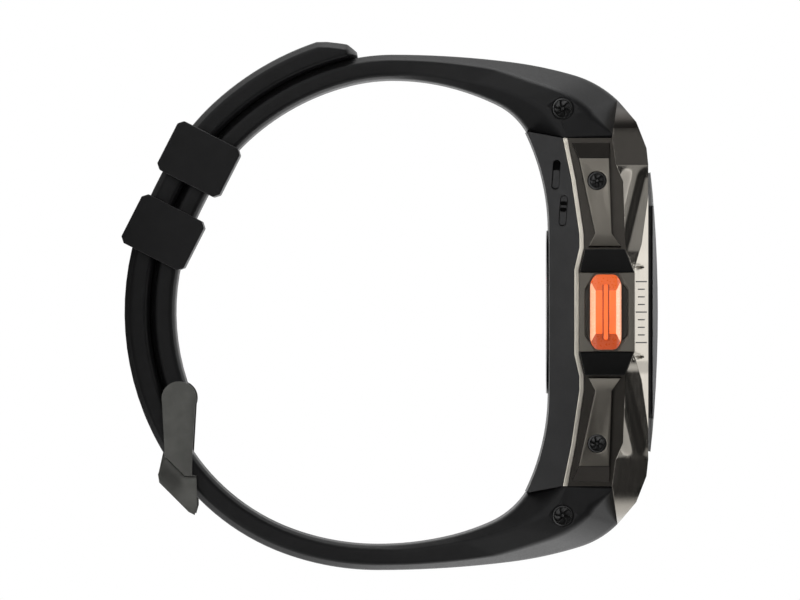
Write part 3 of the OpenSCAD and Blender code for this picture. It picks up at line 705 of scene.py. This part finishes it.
def make_screws():
    """Detailed heads for the strap screws, and for the guard screws on the slanted sides."""
    sin, cos = math.sin(SIDE_SLANT), math.cos(SIDE_SLANT)
    guard_x = SIDE_X + GUARD_SCREW_R - GUARD_SCREW_REACH * sin - GUARD_SCREW_R * (1 - cos)
    guard_y = FLAT_Y + GUARD_SCREW_REACH * cos + GUARD_SCREW_R * sin
    strap_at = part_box("strap_screws")[1]
    for node, x, y, slant, radius, depth in (
            ("strap_screws", strap_at.x, strap_at.y - STRAP_SCREW_R * MM, 0,
             STRAP_SCREW_R, 0.45),
            ("guard_screws", guard_x * MM, guard_y * MM, SIDE_SLANT,
             GUARD_SCREW_R, 0.4)):
        low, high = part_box(node)
        z = (low.z + high.z) / 2
        for i, side in enumerate((-1, 1)):
            for k, end in enumerate((-1, 1)):
                facing = (0 if side > 0 else math.pi) + side * end * slant
                place = Matrix.Translation((side * x, end * y, z))
                screw_head(f"{node[:-1]}_{i}{k}", radius, depth,
                           place @ Matrix.Rotation(facing, 4, "Z"), node)


# ---------------------------------------------------------------- case

def keeper_edge_highlight(at, tilt):
    """1 on the rounded edges along a keeper, where a lighter rubber is a painted highlight."""
    return 1 if 0.25 < abs(tilt.x) < 0.95 else 0


def guard_shaded_faces(at, tilt):
    """1 on a guard's far end and on its flanks, which take painted shade."""
    return 1 if tilt.y * at.y > 0.3 * abs(at.y) or abs(tilt.z) > 0.3 else 0


def make_case():
    """Case pieces, keepers and small parts with softened edges."""
    refined("mid_case", 0.12, "dark_gunmetal")
    for node, width in (("back_case", 0.12), ("trim_ring", 0.08), ("key_housing", 0.1),
                        ("crown_housing", 0.1), ("left_inserts", 0.1),
                        ("right_inserts", 0.1), ("buckle_tongue", 0.2),
                        ("crown_knob", 0.07), ("crown_cap", 0.12),
                        ("sensor_plate", 0.12)):
        refined(node, width)
    for node in ("keeper_upper", "keeper_lower"):
        # The keepers' rounded edges get a painted highlight.
        paint_faces(refined(node, 0.45), ("rubber_edge_highlight",), keeper_edge_highlight)
    for node in ("left_guards", "right_guards"):
        # The guards' flanks and far ends get painted shade.
        paint_faces(refined(node, 0.16), ("painted_shade_metal",), guard_shaded_faces)


def make_glass():
    """The cover glass: a dark screen in a black printed border, and a smoky rim."""
    low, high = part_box("cover_glass")
    low, high = low / MM, high / MM
    border = 1.9
    corner_cut = 4 + 1.4 * border
    reach = high.x + high.y - corner_cut
    print_z = low.z + 0.25
    bm = softened_copy("cover_glass", 0.2)
    planes = [((0, 0, print_z), (0, 0, 1))]
    for s in (-1, 1):
        planes += [((s * (high.x - border), 0, 0), (1, 0, 0)),
                   ((0, s * (high.y - border), 0), (0, 1, 0)),
                   ((s * reach, 0, 0), (1, 1, 0)), ((s * reach, 0, 0), (1, -1, 0))]
    slice_at(bm, planes)
    obj = stand_in(to_object(bm, "cover_glass_skin"), "cover_glass")

    def choose(at, tilt):
        if tilt.z < 0.8:
            return 2 if at.z > print_z else 1
        x, y = abs(at.x), abs(at.y)
        inside = x < high.x - border and y < high.y - border and x + y < reach
        return 0 if inside else 1

    paint_faces(obj, ("screen_border", "glass_rim"), choose)
    weighted(obj)


# ---------------------------------------------------------------- bezel

# Flutes run where FLUTE_TILT, on (y, z), comes between the limits; the last value of the
# span is how softly they fade.
FLUTE_TILT = (-0.234, 0.972)
FLUTE_TOP = (6.45, 7.75)
FLUTE_FOOT = (-6.05, -4.6)
FLUTE_SPAN = (5.7, 17.4, 1.6)
NOTCH_Y = 5.3
NOTCH_Z = 10.3
NOTCH_END = 11.5
NOTCH_W = 0.5
NOTCH_DEPTH = 0.4
FLANK_X = 17.6
FLANK_TAPER = 0.153
END_Y = 17.35


def flank_depth(y, z):
    """How deep the twisted flutes of the bezel's flank lie at |y| and z."""
    d = FLUTE_TILT[0] * y + FLUTE_TILT[1] * z
    top = 0.28 * slope_between(d, *FLUTE_TOP)
    foot = 0.3 * slope_between(-d, *FLUTE_FOOT)
    return (top + foot) * window(y, *FLUTE_SPAN)


def notch_depth(y, z):
    """How deep the V-shaped notch between a flute and the label panel lies."""
    spread = NOTCH_W * min(1, max(0, NOTCH_END - z))
    if z <= NOTCH_Z or spread <= 0:
        return 0
    return NOTCH_DEPTH * max(0, 1 - abs(y - NOTCH_Y) / spread)


def end_painted_shade(at, tilt):
    """Painted shade on the bezel's end facets: darker towards 12 o'clock, brighter towards 6
    o'clock.
    """
    if abs(tilt.x) < 0.18 or abs(at.y) < END_Y:
        return 0
    if at.y < 0:
        return 2
    return 3 if tilt.y > 0.4 else 1


def make_bezel():
    """The bezel, with its twisted flutes and notches."""
    bm = softened_copy("bezel", 0.1, 2)
    slice_at(bm, [((0, 0, z), (0, 0, 1)) for z in frange(7.5, 11.9, 0.13)]
             + [((0, y, 0), (0, 1, 0)) for y in frange(-20.6, 20.6, 0.2)]
             + [((0, s * (NOTCH_Y + d), 0), (0, 1, 0)) for s in (-1, 1)
                for d in (-0.45, -0.25, -0.1, 0, 0.1, 0.25, 0.45)])
    for v in bm.verts:
        x, y, z = (v.co.x / MM, abs(v.co.y / MM), v.co.z / MM)
        if abs(x) < FLANK_X - max(0, y - FLAT_Y) * FLANK_TAPER:
            continue
        v.co.x = math.copysign((abs(x) - flank_depth(y, z) - notch_depth(y, z)) * MM, x)
    obj = stand_in(to_object(bm, "bezel_skin", math.radians(33)), "bezel")
    # The end facets get painted shade, darker at 12 o'clock than at 6 o'clock.
    paint_faces(obj, ("bezel_painted_shade", "bezel_painted_half_shade", "painted_shade_metal"), end_painted_shade)


# ---------------------------------------------------------------- buckle

# The fold crosses an arm at 45 degrees through FOLD, then runs level at FOLD_Y.
FOLD = (-45.17, -17.1)
FOLD_Y = -19.4
FOLD_DEPTH = 0.75
FOLD_REACH = 3.0
ARM_T = 1.1
CAP_R = 0.95


def fold_depth(y, z):
    """How deep the lower end of a buckle arm lies: deepest along the fold line."""
    past = max(-(z - FOLD[0] + y - FOLD[1]) / math.sqrt(2), FOLD_Y - y)
    if past <= 0:
        return 0
    return FOLD_DEPTH * ease(min(1, past / 0.15)) * (1 - ease(min(1, past / FOLD_REACH)))


def arm_edge_highlight(at, tilt):
    """1 on the rounded edges of a buckle arm's lower end, which take a painted highlight."""
    return 1 if 0.3 < abs(tilt.x) < 0.87 and at.y < FOLD_Y - 1.2 else 0


def make_buckle():
    """The buckle frame, whose arms have a sunken lower end and a cap over the bar."""
    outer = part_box("buckle_frame")[1].x / MM
    bm = softened_copy("buckle_frame", 0.3, 4)
    steps = (0, 0.08, 0.15, 0.4, 0.7, 1.0, 1.4, 1.8, 2.4, 3.0)
    slice_at(bm, [((0, FOLD[1] - math.sqrt(2) * d, FOLD[0]), (0, 1, 1)) for d in steps]
             + [((0, FOLD_Y - d, 0), (0, 1, 0)) for d in steps])
    for v in bm.verts:
        share = (abs(v.co.x / MM) - outer + ARM_T) / ARM_T
        if share > 0:
            depth = fold_depth(v.co.y / MM, v.co.z / MM) * share
            v.co.x -= math.copysign(depth * MM, v.co.x)
    obj = stand_in(to_object(bm, "buckle_frame_skin"), "buckle_frame")
    # The rounded edges of the arms' lower ends get a painted highlight.
    paint_faces(obj, ("buckle_edge_highlight",), arm_edge_highlight)
    for s, tag in ((-1, "left"), (1, "right")):
        ends = sorted((s * (outer - 0.2), s * (outer + 0.015)))
        stand_in(rod("buckle_cap_" + tag, CAP_R, *ends, BAR_AT[1], BAR_AT[0]),
                 "buckle_frame")


# ---------------------------------------------------------------- key

def make_key_collars():
    """The two strips that close the gap between the key and the sides of its opening."""
    low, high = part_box("key_housing")
    key_low, key_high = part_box("action_key")
    face = low.x / MM + 0.3
    gap, wall = 0.12, 0.78
    inner_y, outer_y = 3.4, 2.65
    key_side = (key_low.z / MM - gap, key_high.z / MM + gap)
    opening = (low.z / MM + wall, high.z / MM - wall)
    for inner, outer, tag in zip(key_side, opening, "ab"):
        outline = rounded([(inner, -inner_y), (outer, -outer_y), (outer, outer_y),
                           (inner, inner_y)], 0.08, 2)
        middle = (inner + outer) / 2
        rings = [[(x, y * f, middle + (z - middle) * f) for z, y in outline]
                 for x, f in ((face + 0.5, 1), (face + 0.05, 1), (face, 0.96))]
        strip = loft("key_collar_" + tag, rings, math.radians(25))
        weighted(stand_in(strip, "key_housing", "dark_gunmetal"))


def key_light_and_shade(at, tilt):
    """1 on the key's long bevels, painted with a highlight; 2 on its 12 o'clock end and 3 on
    its 6 o'clock end, painted with shade, deeper on the 6 o'clock end.
    """
    if abs(tilt.z) > 0.25 and 0.2 < abs(tilt.x) < 0.97 and abs(tilt.y) < 0.2:
        return 1
    if abs(tilt.y) > 0.2 and abs(tilt.x) > 0.5:
        return 2 if tilt.y > 0 else 3
    return 0


def make_key():
    """The orange key: a long face between bevels, with a raised rib down its middle."""
    low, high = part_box("action_key")
    low, high = low / MM, high / MM
    z = (low.z + high.z) / 2
    half_z = (high.z - low.z) / 2
    half_y = high.y
    outer = low.x

    def ring(x, a, b, cut_a, cut_b, soft):
        plan = [(a, b - cut_b), (a - cut_a, b), (cut_a - a, b), (-a, b - cut_b),
                (-a, cut_b - b), (cut_a - a, -b), (a - cut_a, -b), (a, cut_b - b)]
        return [(x, q, z + p) for p, q in rounded(plan, soft, 5)]

    face_z, face_y = half_z - 0.62, half_y - 1.85
    rings = [ring(high.x, half_z, half_y, 0.6, 1.0, 0.5),
             ring(outer + 0.86, half_z, half_y, 0.6, 1.0, 0.5),
             ring(outer + 0.76, half_z - 0.05, half_y - 0.06, 0.58, 0.97, 0.5),
             ring(outer + 0.12, face_z + 0.05, face_y + 0.12, 0.12, 0.12, 0.1),
             ring(outer + 0.07, face_z - 0.02, face_y - 0.05, 0.12, 0.12, 0.1)]
    key = stand_in(loft("key_skin", rings, math.radians(28)), "action_key")
    # The long bevels get a painted highlight, the two ends painted shade.
    paint_faces(key, ("key_bevel_highlight", "key_end_shade", "key_foot_shade"), key_light_and_shade)
    groove_x, groove_y, groove_z = outer + 0.06, 3.2, 0.33
    for side, tag in ((-1, "a"), (1, "b")):
        line_z = z + side * groove_z
        # Each groove is drawn as a thin dark orange line on the face: painted shade.
        line = capsule("key_groove_shade_" + tag, (groove_x, -groove_y, line_z),
                       (groove_x, groove_y, line_z), 0.07)
        stand_in(line, "action_key", "key_groove_shade")
    rib_plan = rounded([(3.3, 0.05), (3.15, 0.27), (-3.15, 0.27), (-3.3, 0.05),
                        (-3.3, -0.05), (-3.15, -0.27), (3.15, -0.27), (3.3, -0.05)], 0.1, 2)
    rib = loft("key_rib", [[(x, y * f, z + w * f) for y, w in rib_plan] for x, f in (
        (outer + 0.5, 1), (outer + 0.04, 1), (outer, 0.96))], math.radians(20))
    weighted(stand_in(rib, "action_key"))


# ---------------------------------------------------------------- marks and slots

def capsule(name, start, end, radius, steps=12):
    """A thin round-ended line."""
    a, b = Vector(start), Vector(end)
    axis = (b - a).normalized()
    side = axis.orthogonal().normalized()
    up = axis.cross(side)
    rings = []
    for centre, way in ((a, -1), (b, 1)):
        part = []
        for degrees in (5, 26, 47, 68, 89):
            turn = math.radians(degrees)
            r = radius * math.sin(turn)
            at = centre + axis * way * radius * math.cos(turn)
            part.append([at + side * r * math.cos(math.tau * j / steps)
                         + up * r * math.sin(math.tau * j / steps) for j in range(steps)])
        rings += part if way < 0 else part[::-1]
    return loft(name, rings)


MARKS = 9
MARK_PITCH = 0.9
MARK_R = 0.075
PANEL_DROP = 1.65
PANEL_BACK = 1.8


def make_panel_marks():
    """Plain tick marks across the label panels on both flanks of the bezel."""
    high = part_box("bezel")[1] / MM
    for side, tag in ((-1, "left"), (1, "right")):
        for i in range(MARKS):
            y = MARK_PITCH * i - 3.6
            reach = 0.36 if i % 4 == 0 else 0.2
            ends = [(side * (high.x - PANEL_BACK * t + 0.02), y,
                     high.z - PANEL_DROP * (1 - t) + 0.01)
                    for t in (0.5 - reach, 0.5 + reach)]
            stand_in(capsule(f"mark_{tag}_{i}", *ends, MARK_R), "bezel", "mark_fill")


def slot_plate(name, centre, size, depth, thick, material):
    """A round-ended plate sunk in the case's slanted side, at a [z, y] along that side."""
    turn = math.radians(-4)
    z, y = centre
    half_z, half_y = size
    outline = rounded([(half_z, half_y), (-half_z, half_y), (-half_z, -half_y),
                       (half_z, -half_y)], min(half_z, half_y) * 0.98, 6)
    rings = []
    for d, grow in ((depth + thick, 1.0), (depth + 0.04, 1.0), (depth, 0.93)):
        ring = []
        for a, b in outline:
            at_z = z + a * grow * math.cos(turn) - b * grow * math.sin(turn)
            along = y + a * grow * math.sin(turn) + b * grow * math.cos(turn) - FLAT_Y
            ring.append((d - SIDE_X + along * math.sin(SIDE_SLANT),
                         FLAT_Y + along * math.cos(SIDE_SLANT), at_z))
        rings.append(ring)
    weighted(stand_in(loft(name, rings), "port_meshes", material))


def make_ports():
    """Fillings in the two side slots: one leaves an opening, shown by a near-black plate of
    painted shade; one carries two bars in the same near-black.
    """
    for name, centre, size, depth, thick, material in (
            ("mic_floor", (1.1, 15.85), (0.40, 1.1), 0.42, 0.5, "case_polymer"),
            ("mic_opening", (1.1, 17.45), (0.42, 0.58), 0.5, 0.1, "painted_shade_black"),
            ("speaker_floor", (1.95, 12.1), (0.40, 1.75), 0.42, 0.5, "case_polymer"),
            ("speaker_bar_a", (2.0, 12.95), (0.38, 0.24), 0.3, 0.15, "painted_shade_black"),
            ("speaker_bar_b", (1.94, 12.2), (0.38, 0.24), 0.3, 0.15, "painted_shade_black")):
        slot_plate(name, centre, size, depth, thick, material)


def paint_cad():
    """Procedural materials on the CAD nodes that are shown as they are."""
    for node, obj in frame["nodes"].items():
        name = "buckle_metal" if node == "buckle_bar" else SLOT_OF[node]
        obj.data.materials.clear()
        obj.data.materials.append(MATERIALS[name])


# ---------------------------------------------------------------- studio

# Soft areas of light all round: a direction, the cosines where it starts and is full,
# and its strength.
STUDIO = (((1, 0, 0), -0.38, 0.08, 0.8), ((-0.91, 0.41, 0), 0.89, 0.99, 0.65),
          ((0.3, -1, 0), 0.45, 0.95, 2.2), ((0.15, 0.1, 1), 0.6, 0.9, 1.1),
          ((0.3, 1, 0.2), 0.8, 0.97, 0.4))
AMBIENT = 0.05
FRAME_W = 95.2
FILM = 36
VIEW_Z = -17.37
VIEW_Y = 1.43
CAMERA_AWAY = 3000.0


def make_camera():
    """A long lens square on to the 9 o'clock side, with 12 o'clock up."""
    data = bpy.data.cameras.new("camera")
    data.sensor_width = FILM
    data.lens = FILM * CAMERA_AWAY / FRAME_W
    data.clip_start = 0.1
    data.clip_end = 20
    camera = bpy.data.objects.new("camera", data)
    camera.location = Vector((-CAMERA_AWAY, VIEW_Y, VIEW_Z)) * MM
    right = Vector((0, 0, 1))
    up = Vector((0, 1, 0))
    toward = Vector((-1, 0, 0))
    turn = Matrix((right, up, toward)).transposed()
    camera.rotation_euler = turn.to_euler()
    bpy.context.scene.collection.objects.link(camera)
    bpy.context.scene.camera = camera


def add_light(name, place, aim, size, power, mirrored_too=True):
    """A soft rectangular light."""
    data = bpy.data.lights.new(name, "AREA")
    data.shape = "RECTANGLE"
    data.size = size[0] * MM
    data.size_y = size[1] * MM
    data.energy = power
    light = bpy.data.objects.new(name, data)
    light.location = Vector(place) * MM
    direction = Vector(aim) * MM - light.location
    light.rotation_euler = direction.to_track_quat("-Z", "Y").to_euler()
    light.visible_glossy = mirrored_too
    bpy.context.scene.collection.objects.link(light)


def blob(tree, normal, toward, start, end, strength, total):
    """Adds light to total around a direction, from cosine start up to end."""
    dot = tree.nodes.new("ShaderNodeVectorMath")
    dot.operation = "DOT_PRODUCT"
    dot.inputs[1].default_value = Vector(toward).normalized()
    tree.links.new(normal, dot.inputs[0])
    fade = tree.nodes.new("ShaderNodeMapRange")
    fade.interpolation_type = "SMOOTHSTEP"
    fade.inputs["From Min"].default_value = start
    fade.inputs["From Max"].default_value = end
    fade.inputs["To Max"].default_value = strength
    tree.links.new(dot.outputs["Value"], fade.inputs["Value"])
    add = tree.nodes.new("ShaderNodeMath")
    tree.links.new(fade.outputs["Result"], add.inputs[0])
    if total is None:
        add.inputs[1].default_value = AMBIENT
    else:
        tree.links.new(total, add.inputs[1])
    return add.outputs["Value"]


def make_world():
    """White to the camera; to everything else a dark front with bright surroundings."""
    world = bpy.data.worlds.new("studio")
    bpy.context.scene.world = world
    world.use_nodes = True
    tree = world.node_tree
    tree.nodes.clear()
    out = tree.nodes.new("ShaderNodeOutputWorld")
    seen = tree.nodes.new("ShaderNodeBackground")
    seen.inputs["Color"].default_value = (1, 1, 1, 1)
    studio = tree.nodes.new("ShaderNodeBackground")
    studio.inputs["Color"].default_value = (1, 1, 1, 1)
    path = tree.nodes.new("ShaderNodeLightPath")
    blend = tree.nodes.new("ShaderNodeMixShader")
    tree.links.new(path.outputs["Is Camera Ray"], blend.inputs["Fac"])
    tree.links.new(studio.outputs[0], blend.inputs[1])
    tree.links.new(seen.outputs[0], blend.inputs[2])
    tree.links.new(blend.outputs[0], out.inputs["Surface"])
    place = tree.nodes.new("ShaderNodeTexCoord")
    total = None
    for toward, start, end, strength in STUDIO:
        total = blob(tree, place.outputs["Generated"], toward, start, end, strength, total)
    tree.links.new(total, studio.inputs["Strength"])


def make_floor():
    """A pale floor just under the strap."""
    size = 400.0
    z = cad_box[0].z / MM - 0.3
    floor = mesh_object("floor", [(-size, -size, z), (size, -size, z), (size, size, z),
                                  (-size, size, z)], [(0, 1, 2, 3)])
    material, tree, shader = new_material("floor")
    shader.inputs["Base Color"].default_value = (0.82, 0.82, 0.82, 1)
    shader.inputs["Roughness"].default_value = 0.8
    glow = tree.nodes.new("ShaderNodeEmission")
    path = tree.nodes.new("ShaderNodeLightPath")
    blend = tree.nodes.new("ShaderNodeMixShader")
    tree.links.new(path.outputs["Is Camera Ray"], blend.inputs["Fac"])
    tree.links.new(shader.outputs[0], blend.inputs[1])
    tree.links.new(glow.outputs[0], blend.inputs[2])
    tree.links.new(blend.outputs[0], tree.nodes["Material Output"].inputs["Surface"])
    floor.data.materials.append(material)


def make_studio():
    """Camera, floor, world and soft lights."""
    make_camera()
    make_world()
    make_floor()
    add_light("front_fill", (-380, 60, -10), (0, 0, -10), (240, 240), 1.5, False)
    add_light("top", (40, 330, -60), (0, 0, -15), (260, 260), 0.9)
    add_light("display_side", (60, 90, 300), (0, 0, 0), (200, 260), 0.2)
    view = bpy.context.scene.view_settings
    view.view_transform = "Standard"
    view.look = "None"


# ---------------------------------------------------------------- build

paint_cad()
make_case()
make_bezel()
make_glass()
make_buckle()
make_key_collars()
make_key()
make_panel_marks()
make_ports()
make_strap_upper()
make_strap_lower()
make_screws()
make_studio()
